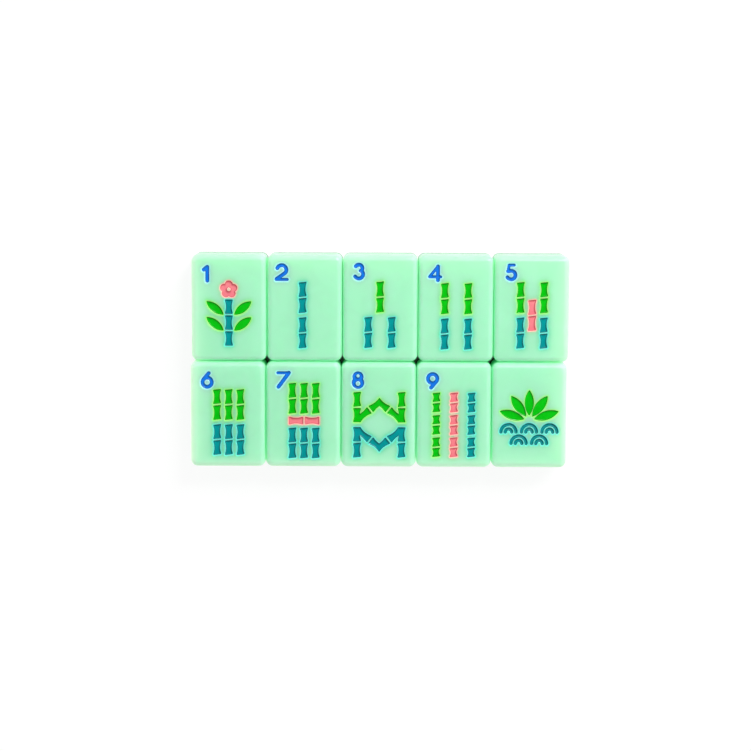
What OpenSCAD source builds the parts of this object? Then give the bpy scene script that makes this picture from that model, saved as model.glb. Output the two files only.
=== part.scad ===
/* [Tile] */
// Width of one tile, left to right
tile_w = 21.5; // [20:0.5:30]
// Length of one tile, foot to head
tile_l = 30.5; // [29:0.5:42]
// Thickness of one tile, from the table up to its face
tile_h = 15.5; // [12:0.5:22]
// Thickness of the back layer bonded under the face block
back_h = 5; // [4:0.5:8]
// Radius of the rounded edge round the face and round the back
rim_r = 1.6; // [0.8:0.1:2.2]
// How much larger the radius of the upright corners is than that of the edge
corner_more = 0.4; // [0.2:0.1:1.5]
// Gap between two tiles laid side by side
tile_gap = 0.15; // [0.1:0.05:2]
// How far the lower row lies to the left of the upper row
row_shift = 0.35; // [0:0.05:1]

/* [Engraving] */
// Depth of the engraved pockets below the face
pocket_d = 0.6; // [0.4:0.05:1]
// Thickness of the paint on the floor of a pocket
paint_t = 0.3; // [0.1:0.05:0.4]
// Clearance between the paint and the wall of its pocket
paint_gap = 0.02; // [0.01:0.01:0.05]

/* [Bamboo sticks] */
// Length of a stick, with both of its joints
stick_l = 8.7; // [6:0.1:9]
// Length of the shorter sticks that stand three to a column
short_stick_l = 5.5; // [4:0.1:6]
// Width of a stick at its knots
knot_w = 2.15; // [1.6:0.05:2.4]
// Length of the straight knot at each end of a joint
knot_l = 0.3; // [0.1:0.05:0.5]
// How far each side of a joint curves in at its waist
waist_in = 0.3; // [0.1:0.02:0.5]
// Gap between the joints of a stick
joint_gap = 0.5; // [0.3:0.05:0.8]
// Gap between sticks that stand one above another
row_gap = 1.45; // [0.8:0.05:1.8]
// Gap between sticks that stand side by side
column_gap = 1.2; // [0.6:0.05:1.4]
// Gap between a lying stick and the sticks above and below it
band_gap = 1.05; // [0.6:0.05:1.3]
// Gap between short sticks one above another
short_row_gap = 1; // [0.6:0.05:1.3]
// Gap between short sticks side by side
short_column_gap = 2.9; // [1.5:0.1:3.2]

/* [Crossed sticks] */
// Distance from the middle of the tile to each post
post_x = 6.4; // [5.4:0.1:6.8]
// Angle at which an arm rises from the foot of its post
arm_angle = 38; // [30:1:42]
// How far the middle of an arm lies below the middle of its post
arm_drop = 0.7; // [0.4:0.1:1]

/* [Numerals] */
// Height of a numeral
numeral_h = 5; // [4:0.1:5.5]
// Width of the stroke that draws it
stroke_w = 1.05; // [0.8:0.05:1.2]
// Width of its thinner, level strokes
thin_w = 0.8; // [0.6:0.05:0.9]

/* [Sprig] */
// Length of the upright stalk, with its three joints
stalk_l = 13.2; // [10:0.1:14]
// Length of a leaf
leaf_l = 6.2; // [4:0.1:6.6]
// Width of a leaf
leaf_w = 2.3; // [1.2:0.1:2.6]
// Gap between the stalk and its leaves and blossom
leaf_gap = 0.45; // [0.3:0.05:0.6]
// Angle at which a leaf rises
leaf_angle = 38; // [30:1:50]
// Radius of one round petal of the blossom
blossom_petal_r = 1.1; // [0.8:0.05:1.2]
// Radius of the plain eye in the middle of the blossom
blossom_eye_r = 0.6; // [0.4:0.05:0.7]

/* [Lotus] */
// Length of a petal
petal_l = 7.4; // [5:0.1:7.6]
// Width of a petal
petal_w = 2.6; // [2:0.1:3]
// Distance from the foot of the flower to the foot of each petal
petal_foot = 1.5; // [1.2:0.1:1.8]
// Angle between neighbouring petals
petal_turn = 36; // [34:1:38]
// Outer radius of a wave
wave_r = 2.6; // [2:0.1:2.8]
// Width of the stroke that draws a wave
wave_stroke = 0.85; // [0.5:0.05:0.9]
// Gap between one wave and the next, and between the waves and the flower
wave_gap = 0.7; // [0.5:0.05:1]

/* [Hidden] */
$fn = 72;
TILES = ["bamboo_1", "bamboo_2", "bamboo_3", "bamboo_4", "bamboo_5",
         "bamboo_6", "bamboo_7", "bamboo_8", "bamboo_9", "lotus"];
tiles_in_row = 5;
sprig_index = 0;
two_index = 1;
five_index = 4;
seven_index = 6;
crossed_index = 7;
nine_index = 8;
lotus_index = 9;

// Sorts of paint on each tile
HAS_BLUE = [1, 1, 1, 1, 1, 1, 1, 1, 1, 0];
HAS_GREEN = [1, 0, 1, 1, 1, 1, 1, 1, 1, 1];
HAS_TEAL = [1, 1, 1, 1, 1, 1, 1, 1, 1, 1];
HAS_PINK = [1, 0, 0, 0, 1, 0, 1, 0, 1, 0];

// Columns of the upright sticks above and below the middle of each tile
UPPER = [[], [0], [0], [-1, 1], [-1, 1], [-1, 0, 1], [-1, 0, 1], [], [], []];
LOWER = [[], [0], [-1, 1], [-1, 1], [-1, 1], [-1, 0, 1], [-1, 0, 1], [], [], []];

// Middle of each engraved pattern from the middle of its tile, and middle of the numeral:
// from the middle of the tile across, and in rows of sticks above the middle of the pattern
art_x_share = [0, -0.02, 0, 0.01, 0.02, 0.01, 0.01, 0.01, 0, 0];
art_y_share = [-0.05, -0.07, -0.07, -0.08, -0.07, -0.08, -0.07, -0.1, -0.1, -0.02];
numeral_x_share = [-0.31, -0.3, -0.28, -0.28, -0.26, -0.28, -0.26, -0.27, -0.29, 0];
numeral_up_share = [1.11, 1.2, 1.23, 1.2, 1.23, 1.2, 1.17, 1.26, 1.23, 0];

// Proportions of the numerals, as shares of their height
wide_share = 0.8;
ring_share = 0.37;
head_share = 0.31;
bowl_share = 0.35;
flag_share = 0.2;
flag_drop_share = 0.16;
crossbar_share = 0.3;
stub_share = 0.16;
foot_share = 0.28;
lean_share = 0.06;

// Angles at which their curved strokes begin, bend and end
two_start_angle = 160;
two_bend_angle = 42;
three_open_angle = 148;
five_start_angle = 118;
five_end_angle = -148;
six_tail_angle = 50;

// Proportions of the flowers
blossom_petals = 5;
blossom_ring_share = 1.25;
inner_wave_share = 0.52;
wave_rows = 2;

// Sizes that follow from the ones above
corner_r = rim_r + corner_more;
pitch_x = tile_w + tile_gap;
pitch_y = tile_l + tile_gap;
column = knot_w + column_gap;
row = stick_l + row_gap;
band = (stick_l + knot_w) / 2 + band_gap;
short_column = knot_w + short_column_gap;
short_row = short_stick_l + short_row_gap;
blossom_ring = blossom_petal_r * blossom_ring_share;
blossom_r = blossom_ring + blossom_petal_r;
sprig_h = stalk_l + leaf_gap + 2 * blossom_r;
lotus_h = petal_foot + petal_l;
waves_h = wave_rows * (wave_r + wave_gap);
numeral_top = (numeral_h - stroke_w) / 2;
thin_top = (numeral_h - thin_w) / 2;

// Puts a tile where it lies in its row, with the middle of the set at the origin
module lay(t) {
    from_middle = t % tiles_in_row - (tiles_in_row - 1) / 2;
    up = t < tiles_in_row ? 1 : -1;
    translate([from_middle * pitch_x + up * row_shift / 2, up * pitch_y / 2, 0]) children();
}

// Section through the edge of a block: upright outside, rounded at the top
module edge_section(height) {
    difference() {
        square([corner_r, height]);
        translate([corner_more, height - rim_r]) difference() {
            square([rim_r, rim_r]);
            circle(r = rim_r);
        }
    }
}

// Block with upright rounded corners and a rounded upper edge: its section is carried
// along the four sides and turned through the four corners, round a plain core
module rounded_block(height) {
    core_w = tile_w - 2 * corner_r;
    core_l = tile_l - 2 * corner_r;
    for (quarter = [0 : 3]) {
        across = quarter % 2 == 0 ? core_w : core_l;
        along = quarter % 2 == 0 ? core_l : core_w;
        rotate(quarter * 90) translate([across / 2, along / 2, 0]) {
            rotate_extrude(angle = 90) edge_section(height);
            rotate([90, 0, 0]) linear_extrude(along) edge_section(height);
        }
    }
    translate([-core_w / 2, -core_l / 2, 0]) cube([core_w, core_l, height]);
}

// One joint of bamboo: a straight knot at each end, and sides that curve in between them.
// Here and below, grow widens an outline evenly, and a negative value draws it in
module joint(length, grow) {
    chord = length - 2 * knot_l;
    curve_r = (chord * chord / 4 + waist_in * waist_in) / (2 * waist_in);
    difference() {
        square([knot_w + 2 * grow, length + 2 * grow], center = true);
        for (side = [-1, 1])
            translate([side * (knot_w / 2 - waist_in + curve_r), 0]) circle(r = curve_r - grow);
    }
}

// An upright stick of equal joints
module stick(length, grow, joints = 2) {
    joint_l = (length - (joints - 1) * joint_gap) / joints;
    for (k = [0 : joints - 1])
        translate([0, (k - (joints - 1) / 2) * (joint_l + joint_gap)]) joint(joint_l, grow);
}

// Sticks in one row, a column to each of the given numbers
module stick_row(columns, spacing, y, length, grow) {
    for (k = columns) translate([k * spacing, y]) stick(length, grow);
}

// A straight stroke with round ends, drawn along the line between two points
module stroke(from, to, width, grow) {
    run = to - from;
    translate(from) rotate(atan2(run.y, run.x)) translate([0, -width / 2 - grow])
        square([norm(run), width + 2 * grow]);
    for (end = [from, to]) translate(end) circle(r = width / 2 + grow);
}

// A stroke with round ends, bent round a centre from one angle to a larger one
module bow(centre, middle_r, width, first, last, grow) {
    swing = last - first;
    steps = ceil(swing / 60);
    translate(centre) {
        intersection() {
            difference() {
                circle(r = middle_r + width / 2 + grow);
                circle(r = middle_r - width / 2 - grow);
            }
            polygon([[0, 0], for (k = [0 : steps])
                2 * (middle_r + width) * [cos(first + swing * k / steps), sin(first + swing * k / steps)]]);
        }
        for (angle = [first, last]) rotate(angle) translate([middle_r, 0]) circle(r = width / 2 + grow);
    }
}

// A leaf or petal pointed at both ends, from the origin along +X
module leaf(length, width, grow) {
    side_r = (length * length + width * width) / (4 * width);
    intersection() {
        translate([length / 2, side_r - width / 2]) circle(r = side_r + grow);
        translate([length / 2, width / 2 - side_r]) circle(r = side_r + grow);
    }
}

module one(grow) {
    stem_x = flag_share * numeral_h / 2;
    stroke([stem_x, -numeral_top], [stem_x, numeral_top], stroke_w, grow);
    stroke([-stem_x, numeral_top - flag_drop_share * numeral_h], [stem_x, numeral_top], stroke_w, grow);
}

module two(grow) {
    head_r = ring_share * numeral_h - stroke_w / 2;
    head = [0, numeral_top - head_r];
    foot_x = (wide_share * numeral_h - thin_w) / 2;
    bend = head + head_r * [cos(two_bend_angle), -sin(two_bend_angle)];
    bow(head, head_r, stroke_w, -two_bend_angle, two_start_angle, grow);
    stroke([stroke_w / 2 - thin_w / 2 - foot_x, -numeral_top], bend, stroke_w, grow);
    stroke([-foot_x, -thin_top], [foot_x, -thin_top], thin_w, grow);
}

// Two bows that meet where their circles cross, and a short bar at that height
module three(grow) {
    head_r = head_share * numeral_h - stroke_w / 2;
    bowl_r = bowl_share * numeral_h - stroke_w / 2;
    head = [0, numeral_top - head_r];
    bowl = [0, bowl_r - numeral_top];
    between = head.y - bowl.y;
    drop = (between * between + head_r * head_r - bowl_r * bowl_r) / (2 * between);
    meet = [sqrt(head_r * head_r - drop * drop), head.y - drop];
    bow(head, head_r, stroke_w, -atan2(drop, meet.x), three_open_angle, grow);
    bow(bowl, bowl_r, stroke_w, -three_open_angle, atan2(between - drop, meet.x), grow);
    stroke([meet.x / 2, meet.y], meet, thin_w, grow);
}

module four(grow) {
    end_x = (wide_share * numeral_h - thin_w) / 2;
    stem_x = end_x - stub_share * numeral_h;
    bar_y = crossbar_share * numeral_h - numeral_h / 2;
    stroke([stem_x, -numeral_top], [stem_x, numeral_top], stroke_w, grow);
    stroke([-end_x, bar_y], [end_x, bar_y], thin_w, grow);
    stroke([-end_x, bar_y], [stem_x, numeral_top], thin_w, grow);
}

module five(grow) {
    bowl_r = bowl_share * numeral_h - stroke_w / 2;
    bowl = [0, bowl_r - numeral_top];
    start = bowl + bowl_r * [cos(five_start_angle), sin(five_start_angle)];
    lean = lean_share * numeral_h;
    foot = start - [lean, 0];
    bow(bowl, bowl_r, stroke_w, five_end_angle, five_start_angle, grow);
    stroke(foot, start, stroke_w, grow);
    stroke(foot, [start.x, thin_top], thin_w, grow);
    stroke([start.x, thin_top], [lean - start.x, thin_top], thin_w, grow);
}

module six(grow) {
    ring_r = ring_share * numeral_h - stroke_w / 2;
    tail_l = (2 * numeral_top - ring_r - ring_r * cos(six_tail_angle)) / sin(six_tail_angle);
    translate([0, ring_r - numeral_top]) difference() {
        union() {
            circle(r = ring_r + stroke_w / 2 + grow);
            rotate(six_tail_angle) stroke([0, ring_r], [tail_l, ring_r], stroke_w, grow);
        }
        circle(r = ring_r - stroke_w / 2 - grow);
    }
}

module seven(grow) {
    end_x = (wide_share * numeral_h - thin_w) / 2;
    stroke([-end_x, thin_top], [end_x, thin_top], thin_w, grow);
    stroke([-foot_share * numeral_h, -numeral_top], [end_x, thin_top], stroke_w, grow);
}

// Two discs that run together, and a round eye in each
module eight(grow) {
    head_r = head_share * numeral_h;
    bowl_r = bowl_share * numeral_h;
    difference() {
        union() {
            translate([0, numeral_h / 2 - head_r]) circle(r = head_r + grow);
            translate([0, bowl_r - numeral_h / 2]) circle(r = bowl_r + grow);
        }
        translate([0, numeral_h / 2 - thin_w - head_r + stroke_w]) circle(r = head_r - stroke_w - grow);
        translate([0, bowl_r - stroke_w + thin_w - numeral_h / 2]) circle(r = bowl_r - stroke_w - grow);
    }
}

module numeral_art(t, grow) {
    translate([numeral_x_share[t] * tile_w, art_y_share[t] * tile_l + numeral_up_share[t] * row]) {
        if (t == 0) one(grow);
        if (t == 1) two(grow);
        if (t == 2) three(grow);
        if (t == 3) four(grow);
        if (t == 4) five(grow);
        if (t == 5) six(grow);
        if (t == 6) seven(grow);
        if (t == 7) eight(grow);
        if (t == 8) rotate(180) six(grow);
    }
}

// Two posts, and two arms that rise from their feet and meet in the middle
module crossed_sticks(grow) {
    reach = post_x - knot_w / 2;
    for (side = [-1, 1]) {
        translate([side * post_x, 0]) stick(stick_l, grow);
        intersection() {
            translate([side * reach / 2, -arm_drop]) rotate(side * (90 - arm_angle))
                stick(reach / cos(arm_angle) + knot_w, grow);
            translate([side * post_x / 2, 0]) square([post_x, 2 * stick_l], center = true);
        }
    }
}

module sprig_stalk(grow) {
    translate([0, (stalk_l - sprig_h) / 2]) stick(stalk_l, grow, 3);
}

module sprig_leaves(grow) {
    knot_y = (stalk_l + joint_gap) / 6;
    for (side = [0, 1], level = [-1, 1])
        mirror([side, 0]) translate([knot_w / 2 + leaf_gap, (stalk_l - sprig_h) / 2 + level * knot_y])
            rotate(leaf_angle) leaf(leaf_l, leaf_w, grow);
}

module sprig_blossom(grow) {
    translate([0, sprig_h / 2 - blossom_r]) difference() {
        for (k = [0 : blossom_petals - 1])
            rotate(90 + k * 360 / blossom_petals) translate([blossom_ring, 0])
                circle(r = blossom_petal_r + grow);
        circle(r = blossom_eye_r - grow);
    }
}

module lotus_petals(grow) {
    translate([0, (waves_h - lotus_h) / 2])
        for (k = [-2 : 2])
            rotate(90 + k * petal_turn) translate([petal_foot, 0]) leaf(petal_l, petal_w, grow);
}

// Rows of double waves, each row with one wave less than the row above it
module waves(grow) {
    across = 2 * wave_r + wave_gap;
    down = wave_r + wave_gap;
    for (level = [1 : wave_rows], k = [level : wave_rows + 1])
        for (outer_r = [wave_r, wave_r * inner_wave_share])
            bow([(k - (wave_rows + 1 + level) / 2) * across, (waves_h - lotus_h) / 2 - level * down],
                outer_r - wave_stroke / 2, wave_stroke, 0, 180, grow);
}

// Short sticks one above another in one column
module short_sticks(column_number, grow) {
    for (k = [-1 : 1]) stick_row([column_number], short_column, k * short_row, short_stick_l, grow);
}

module green_art(t, grow) {
    translate([art_x_share[t] * tile_w, art_y_share[t] * tile_l]) {
        if (t != two_index) stick_row(UPPER[t], column, t == seven_index ? band : row / 2, stick_l, grow);
        if (t == sprig_index) sprig_leaves(grow);
        if (t == crossed_index) translate([0, row / 2]) crossed_sticks(grow);
        if (t == nine_index) short_sticks(-1, grow);
        if (t == lotus_index) lotus_petals(grow);
    }
}

module teal_art(t, grow) {
    translate([art_x_share[t] * tile_w, art_y_share[t] * tile_l]) {
        if (t == two_index) stick_row(UPPER[t], column, row / 2, stick_l, grow);
        stick_row(LOWER[t], column, t == seven_index ? -band : -row / 2, stick_l, grow);
        if (t == sprig_index) sprig_stalk(grow);
        if (t == crossed_index) translate([0, -row / 2]) mirror([0, 1]) crossed_sticks(grow);
        if (t == nine_index) short_sticks(1, grow);
        if (t == lotus_index) waves(grow);
    }
}

module pink_art(t, grow) {
    translate([art_x_share[t] * tile_w, art_y_share[t] * tile_l]) {
        if (t == sprig_index) sprig_blossom(grow);
        if (t == five_index) stick(stick_l, grow);
        if (t == seven_index) rotate(90) stick(stick_l, grow);
        if (t == nine_index) short_sticks(0, grow);
    }
}

// Face block: the upper layer of a tile, with the pockets engraved in its face
module block(t) {
    color("#aef5cc") lay(t) difference() {
        translate([0, 0, back_h]) rounded_block(tile_h - back_h);
        translate([0, 0, tile_h - pocket_d]) linear_extrude(2 * pocket_d) {
            numeral_art(t, 0);
            green_art(t, 0);
            teal_art(t, 0);
            pink_art(t, 0);
        }
    }
}

// Back layer: rounded where it meets the table, flat where the face block is bonded on
module back(t) {
    color("#5fc596") lay(t) translate([0, 0, back_h]) mirror([0, 0, 1]) rounded_block(back_h);
}

// Paint of one colour, on the floor of its pockets
module paint() {
    translate([0, 0, tile_h - pocket_d]) linear_extrude(paint_t) children();
}

module numeral(t) {
    color("#1f6fe0") lay(t) paint() numeral_art(t, -paint_gap);
}

module green_paint(t) {
    color("#0fbc14") lay(t) paint() green_art(t, -paint_gap);
}

module teal_paint(t) {
    color("#07898d") lay(t) paint() teal_art(t, -paint_gap);
}

module pink_paint(t) {
    color("#ee7e84") lay(t) paint() pink_art(t, -paint_gap);
}

for (t = [0 : len(TILES) - 1]) {
    block(t);
    back(t);
    numeral(t);
    green_paint(t);
    teal_paint(t);
    pink_paint(t);
}
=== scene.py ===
import math

import bpy
import numpy as np
from mathutils import Matrix, Vector
from mathutils.geometry import delaunay_2d_cdt


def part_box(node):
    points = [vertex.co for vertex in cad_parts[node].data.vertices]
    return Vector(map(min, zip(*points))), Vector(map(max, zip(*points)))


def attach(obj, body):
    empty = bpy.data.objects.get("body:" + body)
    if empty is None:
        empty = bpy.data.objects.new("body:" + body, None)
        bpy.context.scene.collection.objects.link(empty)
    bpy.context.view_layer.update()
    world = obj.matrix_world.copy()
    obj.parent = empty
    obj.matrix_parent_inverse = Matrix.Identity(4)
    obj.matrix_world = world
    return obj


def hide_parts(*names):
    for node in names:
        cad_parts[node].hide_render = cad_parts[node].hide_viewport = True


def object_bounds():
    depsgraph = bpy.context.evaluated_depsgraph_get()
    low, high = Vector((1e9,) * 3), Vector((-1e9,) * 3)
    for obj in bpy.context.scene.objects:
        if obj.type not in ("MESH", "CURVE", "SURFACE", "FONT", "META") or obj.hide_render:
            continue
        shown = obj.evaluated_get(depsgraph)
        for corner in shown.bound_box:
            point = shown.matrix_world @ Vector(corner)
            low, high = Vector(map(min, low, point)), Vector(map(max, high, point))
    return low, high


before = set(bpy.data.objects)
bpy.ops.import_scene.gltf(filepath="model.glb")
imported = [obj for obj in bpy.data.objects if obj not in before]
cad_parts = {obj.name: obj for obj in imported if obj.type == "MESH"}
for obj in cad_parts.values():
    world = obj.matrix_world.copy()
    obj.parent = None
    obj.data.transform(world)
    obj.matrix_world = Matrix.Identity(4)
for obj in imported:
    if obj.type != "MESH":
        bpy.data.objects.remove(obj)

cad_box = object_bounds()

# Mint face block: the upper layer of a tile, cast in one clear-toned resin, polished, and engraved with a
# small round cutter. Its rim is rolled over all round, and each pocket has a soft polished lip, tinted by
# the enamel and lit by a painted highlight and glow. It is bonded to the back layer under it along a fine V
# groove.
TILES = ["bamboo_1", "bamboo_2", "bamboo_3", "bamboo_4", "bamboo_5",
         "bamboo_6", "bamboo_7", "bamboo_8", "bamboo_9", "lotus"]
PAINTS = {"numeral": "blue", "green_paint": "green", "teal_paint": "teal", "pink_paint": "pink"}
# A millimetre in metres, and in microns
MM = 0.001
MICRONS = 1000
# Sizes are in millimetres. The rim, the corners, the pockets and the clearance are the CAD's, and the
# groove along the bond is in the looks alone
RIM_R = 1.6
CORNER_R = 2.0
POCKET_DEPTH = 0.6
PAINT_CLEARANCE = 0.02
BOND_GROOVE = 0.07
# A lip's radius, how far out its rows of points lie, in how many parts a row is moved out, the share that
# each neighbour has in its evening out, and the share of its distance that a point has to keep
LIP_R = 0.17
LIP_STEPS = (0.012, 0.035, 0.065, 0.1, 0.135, 0.17, 0.21)
LIP_PARTS = 4
LIP_EVENING = 0.25
LIP_KEPT = 0.8
# How fine the mesh is round a rim and a corner, along a side, an outline and the face, how far the face's
# grid stays away from the pockets and the rim, and the narrow rows that keep an edge crisp
RIM_STEPS = 12
CORNER_STEPS = 10
SIDE_STEP = 1.2
OUTLINE_STEP = 0.07
FACE_STEP = 0.32
FACE_MARGIN = 0.4
EDGE_SUPPORT = 0.03
# The cutter's radius, how much wider it cuts than the CAD, and the slant of the sticks' joints, which are
# the upright pockets shorter than a limit on the tiles with sticks
CUTTER_R = 0.055
CUT_WIDER = 0.05
CUT_SLANT = 0.11
JOINT_LIMIT = 4.6
STICK_TILES = TILES[1:9]
# For an outline that is moved: how many times finer it is measured, the share of the move that a point
# has to end away to be kept, and how much wider the evening out is
MOVE_PARTS = 8
MOVE_KEPT = 0.95
MOVE_EVENING = 1.4
# The most distances worked out at once, and how near two points have to be to count as one
DISTANCES_AT_ONCE = 4_000_000
SAME_POINT = 1e-6
NO_POINTS = np.empty((0, 2))
# The tone of the lip beside each enamel in linear light, a tint of its colour and a painted highlight in
# one, how far out it reaches, and how much of it the lips and, cubed, the walls give as light, a painted
# glow
LIP_TINT_AND_HIGHLIGHT = {"blue": (0.4, 0.93, 0.88), "green": (0.36, 1.0, 0.17), "teal": (0.12, 0.9, 0.76),
        "pink": (1.0, 0.54, 0.46)}
LIP_HIGHLIGHT_REACH = 0.27
LIP_GLOW = 0.3
WALL_GLOW = 0.5
# Painted shade of each enamel on the resin beside it: how much red, green and blue it takes out for each
# millimetre of its edge, how far away an edge still counts, and that every fifth point of an edge is
# counted
ENAMEL_SHADE = {"blue": (0.04, 0.04, 0.0), "green": (0.17, 0.0, 0.18), "teal": (0.31, 0.03, 0.1),
         "pink": (0.08, 0.06, 0.15)}
ENAMEL_SHADE_REACH = 1.0
ENAMEL_SHADE_EVERY = 5
# The share of it on a tile with thin lines, and the painted shade that takes red and blue out of the resin
# by the set's rims on the right and at the head
ENAMEL_SHADE_SHARES = {"lotus": 0.5}
PAINTED_RIM_SHADE = (0.12, 0.0, 0.2)
PAINTED_RIM_SHADE_REACH = 1.2
# How far each tile sat off its place under the cutter: to the right and up, for the numeral and the pattern
SLIPS = {"bamboo_1": ((0.05, 0.0), (0.0, 0.0)), "bamboo_2": ((-0.07, 0.26), (-0.14, 0.14)),
         "bamboo_3": ((-0.14, 0.2), (-0.07, 0.34)), "bamboo_4": ((0.0, 0.4), (-0.07, 0.28)),
         "bamboo_5": ((-0.4, 0.14), (-0.28, 0.34)), "bamboo_6": ((0.07, 0.14), (0.0, 0.14)),
         "bamboo_7": ((-0.14, 0.2), (0.0, 0.34)), "bamboo_8": ((-0.14, 0.28), (0.0, 0.14)),
         "bamboo_9": ((0.07, 0.45), (0.0, 0.2)), "lotus": ((0.0, 0.0), (0.0, 0.2))}
# Green light that comes through the resin, out of its steep rim and sides, and how far down it reaches
SEAM_GLOW = (0.02, 0.27, 0.09)
SEAM_REACH = 3.0
# Light that comes out of the rims with no neighbour, and its share and how far in it reaches: on the left
# and at the foot, and on the right and at the head, where more of it goes in
OUTER_GLOW = (0.34, 0.27, 0.2)
LOW_SHARES = (1.15, 0.75)
LOW_REACH = (1.7, 1.5)
HIGH_SHARES = (0.65, 0.22)
HIGH_REACH = (2.6, 5.0)
MINT = (0.43, 0.93, 0.61)
MINT_DEEP = tuple(0.95 * channel for channel in MINT)


def outlines_of(node):
    """The closed outlines of the flat top of a CAD node, in millimetres, with the solid on their left.
    An outline's edges are those that only one upward triangle has. Each vertex is given the one
    that follows it, and doubling those steps ranks the vertices along each outline."""
    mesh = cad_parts[node].data
    places = np.empty(len(mesh.vertices) * 3, np.float32)
    mesh.vertices.foreach_get("co", places)
    corners = np.empty(len(mesh.loops), np.int32)
    mesh.loops.foreach_get("vertex_index", corners)
    microns = np.round(places.reshape(-1, 3) / MM * MICRONS).astype(np.int64)
    points, merged = np.unique(microns, axis=0, return_inverse=True)
    triangles = merged.reshape(-1)[corners].reshape(-1, 3)
    top = triangles[(points[triangles][:, :, 2] == points[:, 2].max()).all(axis=1)]
    start, end = top.reshape(-1), np.roll(top, -1, axis=1).reshape(-1)
    alone = ~np.isin(start * len(points) + end, end * len(points) + start)
    start, end = start[alone], end[alone]
    by_start = np.argsort(start)
    start, follower = start[by_start], np.searchsorted(start[by_start], end[by_start])
    rounds = int(np.ceil(np.log2(len(start)))) + 1
    first, jump = np.arange(len(start)), follower
    for _ in range(rounds):
        first, jump = np.minimum(first, first[jump]), jump[jump]
    is_first = first == np.arange(len(start))
    jump = np.where(is_first, np.arange(len(start)), follower)
    to_go = np.where(is_first, 0, 1)
    for _ in range(rounds):
        to_go, jump = to_go + to_go[jump], jump[jump]
    order = np.lexsort((np.where(is_first, -len(start), -to_go), first))
    ordered = points[start[order]][:, :2] / MICRONS
    return np.split(ordered, np.flatnonzero(np.diff(first[order])) + 1)


def softened(outline, step, radius):
    """Points at even steps along a closed outline, each averaged with its neighbours by a bell curve of
    the given radius, as a round cutter leaves the corners. The average is a product of two spectra."""
    closed = np.vstack([outline, outline[:1]])
    along = np.concatenate([[0], np.cumsum(np.linalg.norm(np.diff(closed, axis=0), axis=1))])
    count = int(round(along[-1] / step))
    places = np.arange(count) * along[-1] / count
    even = np.stack([np.interp(places, along, closed[:, k]) for k in (0, 1)], axis=1)
    steps_away = np.minimum(np.arange(count), count - np.arange(count))
    bell = np.exp(-0.5 * (steps_away * step / radius) ** 2)
    spectrum = np.fft.fft(bell / bell.sum())[:, None]
    return np.fft.ifft(np.fft.fft(even, axis=0) * spectrum, axis=0).real


def right_of(outline):
    """Unit directions to the right of the way along a closed outline: the chord from the point before to
    the point after, turned a quarter turn clockwise."""
    chord = np.roll(outline, -1, axis=0) - np.roll(outline, 1, axis=0)
    turned = np.stack([chord[:, 1], -chord[:, 0]], axis=1)
    return turned / np.linalg.norm(turned, axis=1, keepdims=True)


def turn_of(outline):
    """Twice the area inside a closed outline: above zero where the outline turns left, round a solid, and
    below zero round a hole."""
    x, y = outline.T
    return np.sum(x * np.roll(y, -1) - y * np.roll(x, -1))


def moved_right(outline, distance):
    """An outline moved to its right. The points that end nearer to it than they should, where it would
    loop in its sharp corners, are left out, and the rest is evened out again."""
    fine = softened(outline, OUTLINE_STEP / MOVE_PARTS, OUTLINE_STEP / MOVE_PARTS)
    moved = outline + right_of(outline) * distance
    kept = moved[distance_to(moved, fine)[0] > MOVE_KEPT * distance]
    return softened(kept, OUTLINE_STEP, MOVE_EVENING * CUTTER_R)


def lip_points(outlines, targets):
    """Points for the lips: each outline moved to its right by each step of the lip, in parts with a slight
    evening out. A point that ends nearer to an outline than it should is left out, which clears the
    inside of sharp corners and the narrow bridges between pockets. Also their distances."""
    points, away = [], []
    for out in LIP_STEPS:
        for outline in outlines:
            moved = outline
            for _ in range(LIP_PARTS):
                moved = moved + right_of(moved) * out / LIP_PARTS
                beside = np.roll(moved, 1, axis=0) + np.roll(moved, -1, axis=0)
                moved = (1 - 2 * LIP_EVENING) * moved + LIP_EVENING * beside
            kept = moved[distance_to(moved, targets)[0] > LIP_KEPT * out]
            points.append(kept)
            away.append(np.full(len(kept), out))
    return np.vstack(points), np.concatenate(away)


def triangles_between(outlines, inner):
    """Triangles that fill the area inside an odd number of the closed outlines, with the inner points as
    further corners. Their numbers count through the outlines' points and then the inner ones."""
    sizes = [len(o) for o in outlines]
    rings = np.split(np.arange(sum(sizes)), np.cumsum(sizes)[:-1])
    rings = [(r if turn_of(o) > 0 else r[::-1]).tolist() for r, o in zip(rings, outlines)]
    points = np.vstack(list(outlines) + [inner.reshape(-1, 2)])
    found = delaunay_2d_cdt([Vector(p) for p in points.tolist()], [], rings, 0, SAME_POINT)
    if len(found[0]) != len(points):
        print("outlines cross:", len(found[0]) - len(points), "new points")
    was = np.array([w[0] if w else 0 for w in found[3]])
    inside = np.array([len(w) for w in found[5]]) % 2 == 1
    return was[np.array(found[2])[inside]]


def grid_in(low, high, step):
    """Points of a grid of equal triangles between two corners: rows at the step times the root of three
    quarters, and every second row moved by half a step."""
    rows = np.arange(low[1], high[1], step * math.sqrt(0.75))
    columns = np.arange(low[0], high[0], step)
    shift = (np.arange(len(rows)) % 2 * step / 2)[:, None]
    across = columns[None, :] + shift
    return np.stack([across, np.broadcast_to(rows[:, None], across.shape)], axis=2).reshape(-1, 2)


def distance_to(points, targets):
    """The distance from each point to the nearest target, and that target's number, taken in slices. The
    nearest is the one with the least of its squared length less twice its dot product with the point."""
    lengths = (targets ** 2).sum(axis=1)
    parts = np.array_split(points, len(points) * len(targets) // DISTANCES_AT_ONCE + 1)
    squares = [lengths - 2 * p @ targets.T for p in parts]
    nearest = np.concatenate([s.argmin(axis=1) for s in squares])
    return np.linalg.norm(points - targets[nearest], axis=1), nearest


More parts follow.
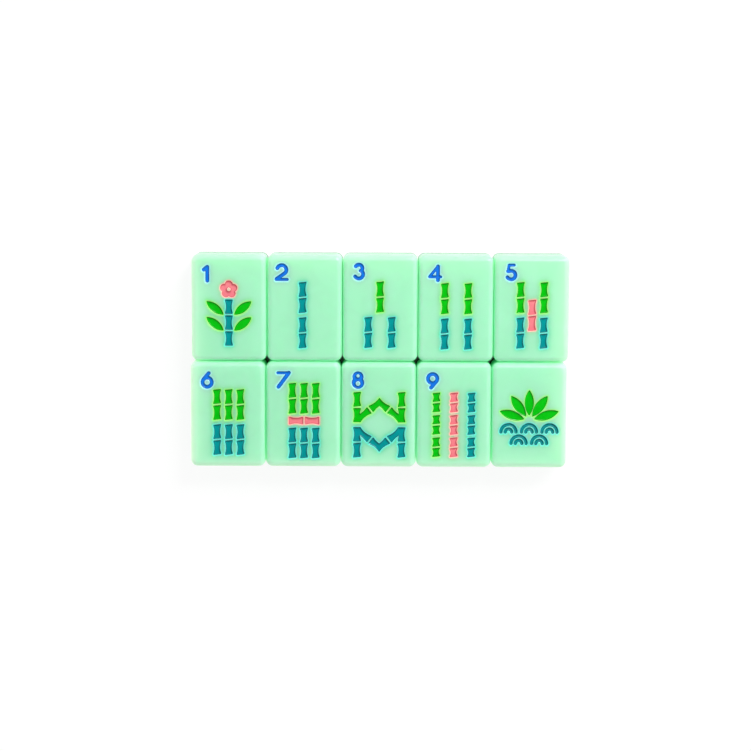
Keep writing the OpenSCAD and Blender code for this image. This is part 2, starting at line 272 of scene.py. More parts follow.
def rounded_path(width, length):
    """The path round a block: for each of its points, the point of the core rectangle that it belongs to
    and the direction outwards. Corners turn about a corner of the core, and sides run along it."""
    core = np.array([width / 2 - CORNER_R, length / 2 - CORNER_R])
    bases, directions = [], []
    for quarter in range(4):
        angles = np.pi / 2 * (quarter + np.linspace(0, 1, CORNER_STEPS + 1))
        arc = np.stack([np.cos(angles), np.sin(angles)], axis=1)
        corner = core * [(1, 1), (-1, 1), (-1, -1), (1, -1)][quarter]
        ahead = core * [(-1, 1), (-1, -1), (1, -1), (1, 1)][quarter]
        count = int(np.linalg.norm(ahead - corner) / SIDE_STEP)
        share = np.arange(1, count)[:, None] / count
        bases += [np.repeat(corner[None], len(arc), 0), corner + (ahead - corner) * share]
        directions += [arc, np.repeat(arc[-1:], count - 1, 0)]
    return np.vstack(bases), np.vstack(directions)


def bands(rows, count):
    """Quads between rows of a closed path, where a row's points are numbered row by row: each point, the
    next one along, and the two above them."""
    i = np.arange(count)
    along = np.stack([i, (i + 1) % count, (i + 1) % count + count, i + count], axis=1)
    return (along[None] + count * np.arange(rows - 1)[:, None, None]).reshape(-1, 4)


def wall_quads(outlines, first, second):
    """Quads along closed outlines, between their points as numbered from first and as numbered from
    second: each point, the next one along, and the two across from them."""
    quads, start = [], 0
    for outline in outlines:
        i = np.arange(len(outline)) + start
        ahead = np.roll(i, -1)
        quads.append(np.stack([first + i, first + ahead, second + ahead, second + i], axis=1))
        start += len(outline)
    return np.vstack(quads)


def make_piece(name, points, quads, triangles, tints=None):
    """A smooth mesh object from points in millimetres and faces, with its tints as attributes. Points that
    no face uses are dropped."""
    used = np.unique(np.concatenate([quads.reshape(-1), triangles.reshape(-1)]))
    number = np.zeros(len(points), np.int64)
    number[used] = np.arange(len(used))
    mesh = bpy.data.meshes.new(name)
    mesh.from_pydata((points[used] * MM).tolist(), [], number[quads].tolist() + number[triangles].tolist())
    mesh.polygons.foreach_set("use_smooth", np.ones(len(mesh.polygons), bool))
    for title, values in (tints or {}).items():
        kind = "FLOAT_COLOR" if values.ndim == 2 else "FLOAT"
        field = mesh.attributes.new(title, kind, "POINT")
        field.data.foreach_set("color" if values.ndim == 2 else "value",
                               values[used].astype(np.float32).reshape(-1))
    mesh.update()
    piece = bpy.data.objects.new(name, mesh)
    bpy.context.scene.collection.objects.link(piece)
    return piece


def block_profile(base_z, top_z):
    """How far in from the outermost edge, and at what height, a block's outside runs: out of the bond's
    groove, straight up, and over the rim by a quarter of a circle."""
    turn = np.linspace(0, np.pi / 2, RIM_STEPS + 1)
    rim = np.stack([RIM_R * (1 - np.cos(turn)), top_z - RIM_R * (1 - np.sin(turn))], axis=1)
    foot = [(RIM_R, base_z), (BOND_GROOVE + EDGE_SUPPORT, base_z), (BOND_GROOVE, base_z),
            (0, base_z + BOND_GROOVE), (0, base_z + BOND_GROOVE + EDGE_SUPPORT)]
    return np.vstack([foot, rim, [(RIM_R + EDGE_SUPPORT, top_z)]])


def swept(centre, size, profile):
    """The profile carried round a block's path: base point plus direction times what is left of the
    corner's radius, at the profile's height. Returns points row by row and the count in a row."""
    bases, directions = rounded_path(size[0], size[1])
    out = (CORNER_R - profile[:, 0])[:, None, None]
    flat = centre + bases[None] + directions[None] * out
    heights = np.broadcast_to(profile[:, 1][:, None, None], flat.shape[:2] + (1,))
    return np.concatenate([flat, heights], axis=2).reshape(-1, 3), len(bases)


def hand_cut(tile, kind, room):
    """The CAD outlines of a fill as the cutter leaves them: softened at the corners, a little wider, with
    the given room all round, and off by the tile's slip. The joints of the sticks end on a slant: each
    point rises by the slant times its way across."""
    cuts = [softened(outline, OUTLINE_STEP, CUTTER_R) for outline in outlines_of(tile + "_" + kind)]
    if tile in STICK_TILES and kind != "numeral":
        for cut in [c for c in cuts if np.ptp(c[:, 0]) < np.ptp(c[:, 1]) < JOINT_LIMIT]:
            cut[:, 1] += CUT_SLANT * (cut[:, 0] - cut[:, 0].mean())
    slip = SLIPS[tile][kind != "numeral"]
    return [moved_right(cut, CUT_WIDER + room) + slip for cut in cuts]


def kinds_on(tile):
    """The kinds of fill that a tile has in the CAD."""
    return [kind for kind in PAINTS if tile + "_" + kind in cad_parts]


def pockets_of(tile):
    """Every pocket outline of a tile with the name of its enamel: the cuts with the paint's clearance."""
    return [(PAINTS[kind], cut) for kind in kinds_on(tile) for cut in hand_cut(tile, kind, PAINT_CLEARANCE)]


def painted_shade_at(points, outlines, colours):
    """What the enamel's painted shade leaves of the resin's colour: e to the minus sum, over the edges of
    all pockets, of what the enamel takes out for each millimetre, times a bell curve of the distance."""
    taken = np.zeros((len(points), 3))
    for outline, colour in zip(outlines, colours):
        edge = outline[::ENAMEL_SHADE_EVERY]
        squares = (points ** 2).sum(axis=1)[:, None] + (edge ** 2).sum(axis=1) - 2 * points @ edge.T
        near = np.exp(-squares / ENAMEL_SHADE_REACH ** 2).sum(axis=1) * OUTLINE_STEP * ENAMEL_SHADE_EVERY
        taken += near[:, None] * ENAMEL_SHADE[colour]
    return np.exp(-taken)


def face_tints(tile, points, first_face, outlines, colours, away):
    """The three tints of a face block, whose points run: outside, face, the pockets' floors. The lip's tint
    and painted highlight is the tone of the nearest lip, with a bell curve of the distance as its share.
    The painted shade is what is left of the resin's colour by the pockets, times e to the minus the painted
    rim shade by the set's rims. The glow sums the light of the seams, the lips and the set's rims, and on a
    wall it is the tone cubed."""
    ring = np.vstack(outlines)
    first_floor = len(points) - len(ring)
    face = points[first_face:first_floor, :2]
    owners = np.repeat(np.arange(len(outlines)), [len(o) for o in outlines])
    tint = np.array([LIP_TINT_AND_HIGHLIGHT[c] for c in colours])[owners[distance_to(face, ring)[1]]]
    lip_tint_and_highlight = np.zeros((len(points), 4))
    # lip tint with a painted highlight, fading with the distance from the lip
    lip_tint_and_highlight[first_face:first_floor] = np.column_stack([tint, np.exp(-(away / LIP_HIGHLIGHT_REACH) ** 2)])
    lip_tint_and_highlight[first_floor:] = np.column_stack([tint[:len(ring)], np.ones(len(ring))])
    # painted shade: what the enamel beside it and the set's right and head rims leave of the resin's colour
    painted_shade = np.ones((len(points), 4))
    painted_shade[first_face:first_floor, :3] = painted_shade_at(face, outlines, colours) ** ENAMEL_SHADE_SHARES.get(tile, 1)
    painted_shade[first_floor:] = painted_shade[first_face:first_face + len(ring)]
    low, high = np.array(cad_box)[:, :2] / MM
    # painted shade in red and blue by the set's right and head rims
    near_set_rim = np.exp((points[:, :2] - high) / PAINTED_RIM_SHADE_REACH).max(axis=1)
    painted_shade[:, :3] *= np.exp(-near_set_rim[:, None] * PAINTED_RIM_SHADE)
    drop = points[first_face:first_floor, 2].max() - points[:, 2]
    seam = np.clip((drop - RIM_R / 4) / RIM_R, 0, 1) * np.exp(-drop / SEAM_REACH)
    seam[first_face:] = 0
    outer = np.maximum(np.exp((low - points[:, :2]) / LOW_REACH) * LOW_SHARES,
                       np.exp((points[:, :2] - high) / HIGH_REACH) * HIGH_SHARES).max(axis=1)
    outer *= np.clip(2 - drop / RIM_R, 0, 1)
    glow = seam[:, None] * SEAM_GLOW + lip_tint_and_highlight[:, :3] * lip_tint_and_highlight[:, 3:] * LIP_GLOW + outer[:, None] * OUTER_GLOW
    wall = np.r_[first_face:first_face + len(ring), first_floor:len(points)]
    glow[wall] = lip_tint_and_highlight[wall, :3] ** 3 * WALL_GLOW
    return {"lip_tint_and_highlight": lip_tint_and_highlight, "painted_shade": painted_shade, "glow": np.column_stack([glow, np.ones(len(glow))])}


def face_block(tile):
    """One face block: the swept outside, a wall and a floor for each pocket, and the face between the rim
    and the walls. The face drops to a wall by a quarter of a circle: the top, less the lip's radius, plus
    the root of that radius squared less the square of how far inside the lip a point lies."""
    low, high = (np.array(corner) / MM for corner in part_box(tile + "_block"))
    centre, top = (low + high)[:2] / 2, high[2]
    outside, around = swept(centre, (high - low)[:2], block_profile(low[2], top))
    colours, outlines = zip(*pockets_of(tile))
    ring = np.vstack(outlines)
    edge = outside[-around:, :2]
    grid = grid_in(edge.min(axis=0), edge.max(axis=0), FACE_STEP)
    half = (high - low)[:2] / 2 - RIM_R - FACE_MARGIN
    away, _ = distance_to(grid, ring)
    clear = (away > FACE_MARGIN) & (np.abs(grid - centre) < half).all(axis=1)
    lips, lip_away = lip_points(outlines, ring)
    inner = np.vstack([lips, grid[clear]])
    away = np.concatenate([np.zeros(len(ring)), lip_away, away[clear]])
    inward = np.clip(LIP_R - away, 0, LIP_R)
    heights = top - LIP_R + np.sqrt(LIP_R ** 2 - inward ** 2)
    face = np.column_stack([np.vstack([ring, inner]), heights])
    floor = np.column_stack([ring, np.full(len(ring), top - POCKET_DEPTH)])
    points = np.vstack([outside, face, floor])
    first_face, first_floor = len(outside), len(outside) + len(face)
    quads = [bands(len(outside) // around, around), wall_quads(outlines, first_face, first_floor)]
    numbers = np.arange(len(outside) - around, first_floor)
    triangles = [numbers[triangles_between([edge] + list(outlines), inner)],
                 triangles_between(outlines, NO_POINTS) + first_floor,
                 triangles_between([outside[:around, :2]], NO_POINTS)[:, ::-1]]
    return make_piece(tile + "_face_block", points, np.vstack(quads), np.vstack(triangles),
                      face_tints(tile, points, first_face, outlines, colours, away))


def add_node(tree, kind, values=None, **settings):
    """A shader node with its settings and the values of its named or numbered inputs."""
    made = tree.nodes.new("ShaderNode" + kind)
    for name, value in settings.items():
        setattr(made, name, value)
    for name, value in (values or {}).items():
        made.inputs[name].default_value = value
    return made


def new_group(name, inputs, outputs):
    """An empty shader node group with named inputs, each with its starting value, and named outputs."""
    group = bpy.data.node_groups.new(name, "ShaderNodeTree")
    for title, value in inputs.items():
        kind = "NodeSocketColor" if isinstance(value, tuple) else "NodeSocketFloat"
        socket = group.interface.new_socket(title, in_out="INPUT", socket_type=kind)
        socket.default_value = value
    for title, kind in outputs.items():
        group.interface.new_socket(title, in_out="OUTPUT", socket_type="NodeSocket" + kind)
    return group, group.nodes.new("NodeGroupInput"), group.nodes.new("NodeGroupOutput")


def cloud_group():
    """Soft clouds where cast resin or enamel set unevenly: a soft noise mixes two colours."""
    group, given, out = new_group(
        "cast_clouds", {"Color": (1, 1, 1, 1), "Deep color": (1, 1, 1, 1), "Size per metre": 150.0,
                        "Amount": 0.5}, {"Color": "Color"})
    place = add_node(group, "TexCoord")
    noise = add_node(group, "TexNoise", {"Detail": 2.0, "Roughness": 0.45, "Distortion": 0.6})
    level = add_node(group, "MapRange", {"From Min": 0.35, "From Max": 0.65},
                     interpolation_type="SMOOTHSTEP")
    scaled = add_node(group, "Math", operation="MULTIPLY")
    mix = add_node(group, "Mix", data_type="RGBA")
    links = group.links
    links.new(place.outputs["Object"], noise.inputs["Vector"])
    links.new(given.outputs["Size per metre"], noise.inputs["Scale"])
    links.new(noise.outputs["Fac"], level.inputs["Value"])
    links.new(level.outputs["Result"], scaled.inputs[0])
    links.new(given.outputs["Amount"], scaled.inputs[1])
    links.new(scaled.outputs["Value"], mix.inputs["Factor"])
    links.new(given.outputs["Color"], mix.inputs["A"])
    links.new(given.outputs["Deep color"], mix.inputs["B"])
    links.new(mix.outputs["Result"], out.inputs["Color"])
    return group


def polish_group():
    """What polishing and handling leave: a slow waviness, and hair-fine scuffs that run one way and
    change the roughness a little."""
    group, given, out = new_group(
        "handled_polish", {"Roughness": 0.12, "Scuff": 0.08, "Wave per metre": 350.0},
        {"Roughness": "Float", "Height": "Float"})
    place = add_node(group, "TexCoord")
    wave = add_node(group, "TexNoise", {"Detail": 1.5, "Roughness": 0.4})
    stretch = add_node(group, "Mapping", {"Rotation": (0, 0, 0.6), "Scale": (700.0, 6000.0, 900.0)})
    scuff = add_node(group, "TexNoise", {"Scale": 1.0, "Detail": 2.0, "Roughness": 0.5})
    sharp = add_node(group, "MapRange", {"From Min": 0.55, "From Max": 0.8})
    scaled = add_node(group, "Math", operation="MULTIPLY")
    summed = add_node(group, "Math", operation="ADD")
    links = group.links
    links.new(place.outputs["Object"], wave.inputs["Vector"])
    links.new(given.outputs["Wave per metre"], wave.inputs["Scale"])
    links.new(place.outputs["Object"], stretch.inputs["Vector"])
    links.new(stretch.outputs["Vector"], scuff.inputs["Vector"])
    links.new(scuff.outputs["Fac"], sharp.inputs["Value"])
    links.new(sharp.outputs["Result"], scaled.inputs[0])
    links.new(given.outputs["Scuff"], scaled.inputs[1])
    links.new(scaled.outputs["Value"], summed.inputs[0])
    links.new(given.outputs["Roughness"], summed.inputs[1])
    links.new(summed.outputs["Value"], out.inputs["Roughness"])
    links.new(wave.outputs["Fac"], out.inputs["Height"])
    return group


CLOUDS, POLISH = cloud_group(), polish_group()
# The height of a full bump, in metres
BUMP_HEIGHT = 0.00005


def finish_material(name, colour, deep, cloud_size, cloud_amount, roughness, scuff, wave, bump):
    """A material with clouds in its colour and a handled polish, and its tree, its shader and its clouds.
    The sizes of clouds and waves count them along a metre."""
    material = bpy.data.materials.new(name)
    material.use_nodes = True
    tree = material.node_tree
    shader = tree.nodes["Principled BSDF"]
    clouds = add_node(tree, "Group", node_tree=CLOUDS)
    clouds.inputs["Color"].default_value = colour + (1,)
    clouds.inputs["Deep color"].default_value = deep + (1,)
    clouds.inputs["Size per metre"].default_value = cloud_size
    clouds.inputs["Amount"].default_value = cloud_amount
    polish = add_node(tree, "Group", node_tree=POLISH)
    polish.inputs["Roughness"].default_value = roughness
    polish.inputs["Scuff"].default_value = scuff
    polish.inputs["Wave per metre"].default_value = wave
    bumped = add_node(tree, "Bump", {"Strength": bump, "Distance": BUMP_HEIGHT})
    tree.links.new(polish.outputs["Height"], bumped.inputs["Height"])
    tree.links.new(polish.outputs["Roughness"], shader.inputs["Roughness"])
    tree.links.new(bumped.outputs["Normal"], shader.inputs["Normal"])
    tree.links.new(clouds.outputs["Color"], shader.inputs["Base Color"])
    return material, tree, shader, clouds


def mint_resin():
    """Mint resin: clouds, times what the painted shade leaves of their colour, then the lip's tint and
    painted highlight.
    """
    material, tree, shader, clouds = finish_material(
        "mint_resin", MINT, MINT_DEEP, cloud_size=140.0, cloud_amount=0.6, roughness=0.34, scuff=0.05,
        wave=220.0, bump=0.25)
    painted_shade = add_node(tree, "Attribute", attribute_name="painted_shade")
    lip_tint_and_highlight = add_node(tree, "Attribute", attribute_name="lip_tint_and_highlight")
    shaded = add_node(tree, "Mix", {"Factor": 1.0}, data_type="RGBA", blend_type="MULTIPLY")
    lit = add_node(tree, "Mix", data_type="RGBA")
    tree.links.new(clouds.outputs["Color"], shaded.inputs["A"])
    tree.links.new(painted_shade.outputs["Color"], shaded.inputs["B"])
    tree.links.new(lip_tint_and_highlight.outputs["Alpha"], lit.inputs["Factor"])
    tree.links.new(shaded.outputs["Result"], lit.inputs["A"])
    tree.links.new(lip_tint_and_highlight.outputs["Color"], lit.inputs["B"])
    tree.links.new(lit.outputs["Result"], shader.inputs["Base Color"])
    glow = add_node(tree, "Attribute", attribute_name="glow")
    tree.links.new(glow.outputs["Color"], shader.inputs["Emission Color"])
    shader.inputs["Emission Strength"].default_value = 1.0
    shader.inputs["IOR"].default_value = 1.42
    shader.inputs["Subsurface Weight"].default_value = 1.0
    shader.inputs["Subsurface Radius"].default_value = (1.0, 0.8, 0.9)
    shader.inputs["Subsurface Scale"].default_value = 0.0045
    shader.inputs["Coat Weight"].default_value = 0.15
    shader.inputs["Coat Roughness"].default_value = 0.2
    return material


mint = mint_resin()
for tile in TILES:
    block = face_block(tile)
    block.data.materials.append(mint)
    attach(block, tile + "_tile")
    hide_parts(tile + "_block")

# Jade back layer: a plain slab of the same resin in a deeper green, bonded under the face block. Its
# lower rim is rolled over like the face's, so that a hand can get a nail under it, and it lies flat.
JADE = (0.04, 0.54, 0.2)
JADE_DEEP = (0.02, 0.4, 0.13)


def back_layer(tile):
    """One back layer: the block's profile upside down, swept round, with a flat cover on both ends."""
    low, high = (np.array(corner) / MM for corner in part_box(tile + "_back"))
    profile = block_profile(-high[2], -low[2]) * (1, -1)
    points, around = swept((low + high)[:2] / 2, (high - low)[:2], profile)
    cover = triangles_between([points[:around, :2]], NO_POINTS)
    sole = triangles_between([points[-around:, :2]], NO_POINTS)[:, ::-1] + len(points) - around
    return make_piece(tile + "_back_layer", points, bands(len(points) // around, around)[:, ::-1],
                      np.vstack([cover, sole]))


def jade_resin():
    """Jade resin: the same polish over darker clouds."""
    material, _, shader, _ = finish_material(
        "jade_resin", JADE, JADE_DEEP, cloud_size=110.0, cloud_amount=0.8, roughness=0.16, scuff=0.06,
        wave=220.0, bump=0.25)
    shader.inputs["IOR"].default_value = 1.5
    shader.inputs["Subsurface Weight"].default_value = 1.0
    shader.inputs["Subsurface Radius"].default_value = (0.3, 1.0, 0.6)
    shader.inputs["Subsurface Scale"].default_value = 0.002
    shader.inputs["Coat Weight"].default_value = 0.15
    shader.inputs["Coat Roughness"].default_value = 0.2
    return material


jade = jade_resin()
for tile in TILES:
    back = back_layer(tile)
    back.data.materials.append(jade)
    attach(back, tile + "_tile")
    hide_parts(tile + "_back")

# Enamel fills: each colour is flowed into its pockets by hand and sets glossy. It creeps up the wall of
# the pocket, so it is a shallow dish. Its colour is darker towards each pocket's foot, and darker by the
# walls, most towards the head, which is painted shadow.
FILL_LEVEL = 0.1
CREEP = 0.2
CREEP_REACH = 0.4
WALL_MARGIN = 0.004
# How far from a wall the painted shadow of the wall reaches, how much farther at the head, which way the
# head side is, and how dark
WALL_SHADE_REACH = 0.17
HEAD_SHADE_REACH = 0.38
HEAD_SIDE = (0.35, 0.937)
WALL_SHADE_DEPTH = 0.95
# The grid of its surface, and how far that stays from the wall
FILL_STEP = 0.1
FILL_MARGIN = 0.05
# The height and length of its ripples, and how far and how often the waves along x and along y bend
RIPPLE = 0.008
RIPPLE_LENGTH = 1.1
RIPPLE_BEND = (1.7, 1.3)
RIPPLE_TURNS = (1.9, 2.3)
# Each enamel's colour at the head of a pocket, at its foot and in the painted shadow by a wall, and its
# slot
ENAMELS = {"blue": ((0.012, 0.225, 0.97), (0.01, 0.18, 0.77), (0.003, 0.08, 0.3), "blue_paint"),
           "green": ((0.004, 0.64, 0.01), (0.002, 0.5, 0.005), (0.001, 0.24, 0.003), "green_paint"),
           "teal": ((0.001, 0.37, 0.39), (0.001, 0.285, 0.305), (0.001, 0.08, 0.085), "teal_paint"),
           "pink": ((1.0, 0.325, 0.345), (0.88, 0.215, 0.27), (0.6, 0.07, 0.09), "pink_paint")}


def dish(points, away, floor):
    """Height of the set enamel: its level over the pocket's floor, plus the creep up the wall, which
    falls off as the cube of what is left of its reach, plus a ripple of two crossed waves, each bent by
    a sine of the other direction."""
    left = np.clip(1 - away / CREEP_REACH, 0, 1)
    x, y = points.T
    waves = np.sin(x * 2 * np.pi / RIPPLE_LENGTH + RIPPLE_BEND[0] * np.sin(y * RIPPLE_TURNS[0]))
    waves = waves * np.cos(y * 2 * np.pi / RIPPLE_LENGTH + RIPPLE_BEND[1] * np.sin(x * RIPPLE_TURNS[1]))
    return floor + FILL_LEVEL + CREEP * left ** 3 + RIPPLE * waves * (1 - left)


def way_down(points, outlines):
    """How far down its own pocket each point lies, from 0 at the head to 1 at the foot. The pocket is the
    one whose outline is nearest, holes left out, which turn the other way."""
    rims = [o for o in outlines if turn_of(o) > 0]
    owners = np.repeat(np.arange(len(rims)), [len(o) for o in rims])
    owners = owners[distance_to(points, np.vstack(rims))[1]]
    head = np.array([o[:, 1].max() for o in rims])[owners]
    foot = np.array([o[:, 1].min() for o in rims])[owners]
    return (head - points[:, 1]) / (head - foot)


def painted_wall_shade(points, edge, nearest, away):
    """The painted shadow of the walls at each point: a bell curve of the distance to the wall, which is
    wider by the share in which the way to that wall leads to the head side of the tile."""
    way = (edge[nearest] - points) / np.maximum(away, WALL_MARGIN)[:, None]
    return np.exp(-(away / (WALL_SHADE_REACH + HEAD_SHADE_REACH * np.clip(way @ HEAD_SIDE, 0, 1))) ** 2)


def enamel_fill(tile, kind):
    """One colour's fill on a tile: a wall round each outline, a dished top, and a flat underside."""
    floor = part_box(tile + "_" + kind)[0][2] / MM
    outlines = hand_cut(tile, kind, PAINT_CLEARANCE - WALL_MARGIN)
    edge = np.vstack(outlines)
    inner = grid_in(edge.min(axis=0), edge.max(axis=0), FILL_STEP)
    inner = inner[distance_to(inner, edge)[0] > FILL_MARGIN]
    flat = np.vstack([edge, inner])
    away, nearest = distance_to(flat, edge)
    top = np.column_stack([flat, dish(flat, away, floor)])
    under = np.column_stack([edge, np.full(len(edge), floor)])
    upper = triangles_between(outlines, inner)
    lower = triangles_between(outlines, NO_POINTS)[:, ::-1] + len(top)
    hidden = np.ones(len(under))
    # foot: darker towards each pocket's foot; deep: a painted shadow by the walls, widest on the head side
    tints = {"foot": np.concatenate([way_down(flat, outlines), hidden]),
             "deep": np.concatenate([painted_wall_shade(flat, edge, nearest, away) * WALL_SHADE_DEPTH, hidden])}
    return make_piece(tile + "_" + PAINTS[kind] + "_enamel", np.vstack([top, under]),
                      wall_quads(outlines, len(top), 0), np.vstack([upper, lower]), tints)


def enamel(colour):
    """Glossy enamel: clouds of a deeper tone, deeper at the foot of a pocket and darker by its walls with a
    painted shadow.
    """
    head, foot, wall, _ = ENAMELS[colour]
    material, tree, shader, clouds = finish_material(
        colour + "_enamel", head, foot, cloud_size=900.0, cloud_amount=0.45, roughness=0.1, scuff=0.05,
        wave=1300.0, bump=0.8)
    tone = clouds.outputs["Color"]
    # the foot tone, then the painted shadow by the walls
    for title, shade in (("foot", foot), ("deep", wall)):
        depth = add_node(tree, "Attribute", attribute_name=title)
        darker = add_node(tree, "Mix", {"B": shade + (1,)}, data_type="RGBA")
        tree.links.new(depth.outputs["Fac"], darker.inputs["Factor"])
        tree.links.new(tone, darker.inputs["A"])
        tone = darker.outputs["Result"]
    tree.links.new(tone, shader.inputs["Base Color"])
    shader.inputs["IOR"].default_value = 1.46
    return material


for colour in ENAMELS:
    glaze = enamel(colour)
    for tile in TILES:
        for kind in [k for k in kinds_on(tile) if PAINTS[k] == colour]:
            fill = enamel_fill(tile, kind)
            fill.data.materials.append(glaze)
            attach(fill, tile + "_tile")
            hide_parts(tile + "_" + kind)

# White table under the tiles, a broad soft lamp up to the right, a small one nearer by that gives the
# enamel its glints, and a pale room all round. Here sizes are in metres.
LAMP_POWER = 3.9
LAMP_SIZE = 0.34
LAMP_PLACE = Vector((0.38, 0.5, 0.62))
SPARK_POWER = 0.8
SPARK_SIZE = 0.08
SPARK_PLACE = Vector((0.12, 0.25, 0.52))
# The room's light overhead and all round, the heights of a direction at which it is the one or the other,
# and how much brighter the lamp's side is
ROOM_ABOVE = 0.05
ROOM_ROUND = 0.97
OVERHEAD = (0.94, 0.42)
WINDOW_SIDE = 0.18
# Half a side of the table, its lit white, the white of its own, the share that stays lit in the camera's
# view, and the reach of the shade under the set and its fade at the set's outline
FLOOR_HALF = 3.0
FLOOR_WHITE = 0.85
FLOOR_GLOW = 0.9
FLOOR_SHARE = 0.14
SHADE_REACH = 0.05
SHADE_FADE = 0.012


def white_table():
    """A flat white table. In the camera's view or in a gloss, most of its white is its own and the rest is
    lit, so a faint shadow stays. Under the set that turns to plain lit white, and what is left of its own
    white is dimmed by whatever stands over it, within a fade from the set's outline inwards."""
    mesh = bpy.data.meshes.new("table")
    corners = [(-1, -1, 0), (1, -1, 0), (1, 1, 0), (-1, 1, 0)]
    mesh.from_pydata([Vector(corner) * FLOOR_HALF for corner in corners], [], [(0, 1, 2, 3)])
    table = bpy.data.objects.new("table", mesh)
    bpy.context.scene.collection.objects.link(table)
    material = bpy.data.materials.new("white_table")
    material.use_nodes = True
    tree = material.node_tree
    links = tree.links
    plain = tree.nodes["Principled BSDF"]
    plain.inputs["Base Color"].default_value = (FLOOR_WHITE,) * 3 + (1,)
    plain.inputs["Roughness"].default_value = 0.6
    place = add_node(tree, "TexCoord")
    split = add_node(tree, "SeparateXYZ")
    nearer = add_node(tree, "Math", operation="MINIMUM")
    links.new(place.outputs["Object"], split.inputs[0])
    for k in (0, 1):
        size = add_node(tree, "Math", operation="ABSOLUTE")
        inwards = add_node(tree, "Math", {0: cad_box[1][k]}, operation="SUBTRACT")
        links.new(split.outputs[k], size.inputs[0])
        links.new(size.outputs[0], inwards.inputs[1])
        links.new(inwards.outputs[0], nearer.inputs[k])
    under = add_node(tree, "MapRange", {"From Max": SHADE_FADE}, interpolation_type="SMOOTHSTEP")
    share = add_node(tree, "Math", {1: FLOOR_WHITE - FLOOR_SHARE, 2: FLOOR_SHARE}, operation="MULTIPLY_ADD")
    open_sky = add_node(tree, "AmbientOcclusion", {"Distance": SHADE_REACH}, samples=8)
    hidden = add_node(tree, "Math", {0: 1.0}, operation="SUBTRACT")
    taken = add_node(tree, "Math", operation="MULTIPLY")
    own = add_node(tree, "Math", {1: -FLOOR_GLOW, 2: FLOOR_GLOW}, operation="MULTIPLY_ADD")
    seen = add_node(tree, "BsdfDiffuse")
    glow = add_node(tree, "Emission", {"Color": (1, 1, 1, 1)})
    both = add_node(tree, "AddShader")
    path = add_node(tree, "LightPath")
    mirrored = add_node(tree, "Math", operation="MAXIMUM")
    mix = add_node(tree, "MixShader")
    links.new(nearer.outputs[0], under.inputs["Value"])
    links.new(under.outputs["Result"], share.inputs[0])
    links.new(share.outputs[0], seen.inputs["Color"])
    links.new(open_sky.outputs["AO"], hidden.inputs[1])
    links.new(hidden.outputs[0], taken.inputs[0])
    links.new(under.outputs["Result"], taken.inputs[1])
    links.new(taken.outputs[0], own.inputs[0])
    links.new(own.outputs[0], glow.inputs["Strength"])
    links.new(seen.outputs[0], both.inputs[0])
    links.new(glow.outputs[0], both.inputs[1])
    links.new(path.outputs["Is Camera Ray"], mirrored.inputs[0])
    links.new(path.outputs["Is Glossy Ray"], mirrored.inputs[1])
    links.new(mirrored.outputs[0], mix.inputs[0])
    links.new(plain.outputs[0], mix.inputs[1])
    links.new(both.outputs[0], mix.inputs[2])
    links.new(mix.outputs[0], tree.nodes["Material Output"].inputs["Surface"])
    mesh.materials.append(material)
    return table


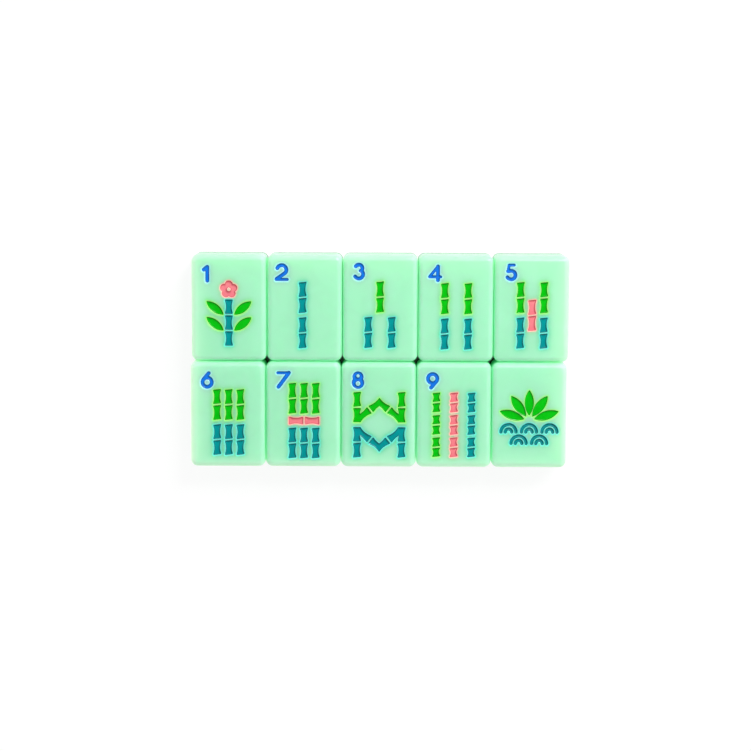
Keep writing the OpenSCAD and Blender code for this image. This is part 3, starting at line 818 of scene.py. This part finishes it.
def pale_room():
    """White all round to the camera. The object gets a bright room from the sides and a dim one from
    straight above, where the camera and its stand are, by the height of the direction. The side that
    the lamp is on is the brighter one, by the direction's share towards it."""
    world = bpy.data.worlds.new("pale_room")
    world.use_nodes = True
    tree = world.node_tree
    background = tree.nodes["Background"]
    background.inputs["Color"].default_value = (1, 1, 1, 1)
    place = add_node(tree, "TexCoord")
    split = add_node(tree, "SeparateXYZ")
    room = add_node(tree, "MapRange", {"From Min": OVERHEAD[1], "From Max": OVERHEAD[0],
                                       "To Min": ROOM_ROUND, "To Max": ROOM_ABOVE},
                    interpolation_type="SMOOTHSTEP")
    level = Vector((LAMP_PLACE.x, LAMP_PLACE.y, 0)).normalized()
    window = add_node(tree, "VectorMath", {1: level}, operation="DOT_PRODUCT")
    side = add_node(tree, "Math", {1: WINDOW_SIDE, 2: 1.0}, operation="MULTIPLY_ADD")
    sided = add_node(tree, "Math", operation="MULTIPLY")
    path = add_node(tree, "LightPath")
    strength = add_node(tree, "Mix", {"B": 1.0})
    tree.links.new(place.outputs["Generated"], window.inputs[0])
    tree.links.new(window.outputs["Value"], side.inputs[0])
    tree.links.new(room.outputs["Result"], sided.inputs[0])
    tree.links.new(side.outputs["Value"], sided.inputs[1])
    tree.links.new(place.outputs["Generated"], split.inputs[0])
    tree.links.new(split.outputs["Z"], room.inputs["Value"])
    tree.links.new(path.outputs["Is Camera Ray"], strength.inputs["Factor"])
    tree.links.new(sided.outputs["Value"], strength.inputs["A"])
    tree.links.new(strength.outputs["Result"], background.inputs["Strength"])
    bpy.context.scene.world = world


white_table()
pale_room()
for name, power, size, place in (("soft_lamp", LAMP_POWER, LAMP_SIZE, LAMP_PLACE),
                                 ("spark_lamp", SPARK_POWER, SPARK_SIZE, SPARK_PLACE)):
    lamp_data = bpy.data.lights.new(name, "AREA")
    lamp_data.energy = power
    lamp_data.size = size
    lamp = bpy.data.objects.new(name, lamp_data)
    lamp.location = place
    lamp.rotation_euler = place.to_track_quat("Z", "Y").to_euler()
    bpy.context.scene.collection.objects.link(lamp)

# The camera stands almost straight above the faces, 575 mm away, and leans back by 6.2 degrees from the
# head side of the tiles. The set's middle lies at pixel (379.4, 361.9) of a picture 751 pixels wide.
PICTURE = 751
FOCAL_PIXELS = 2006.0
DISTANCE = 0.575
TILT = math.radians(6.2)
ROLL = math.radians(0.25)
MIDDLE_PIXEL = (379.4, 361.9)
camera_data = bpy.data.cameras.new("camera")
camera_data.sensor_width = 36.0
camera_data.lens = FOCAL_PIXELS / PICTURE * camera_data.sensor_width
camera_data.shift_x = (PICTURE / 2 - MIDDLE_PIXEL[0]) / PICTURE
camera_data.shift_y = (MIDDLE_PIXEL[1] - PICTURE / 2) / PICTURE
camera = bpy.data.objects.new("camera", camera_data)
face_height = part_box("bamboo_3_block")[1][2]
turn = Matrix.Rotation(ROLL, 4, "Z") @ Matrix.Rotation(-TILT, 4, "X")
camera.matrix_world = Matrix.Translation((0, 0, face_height)) @ turn @ Matrix.Translation((0, 0, DISTANCE))
bpy.context.scene.collection.objects.link(camera)
bpy.context.scene.camera = camera
bpy.context.scene.view_settings.view_transform = "Standard"
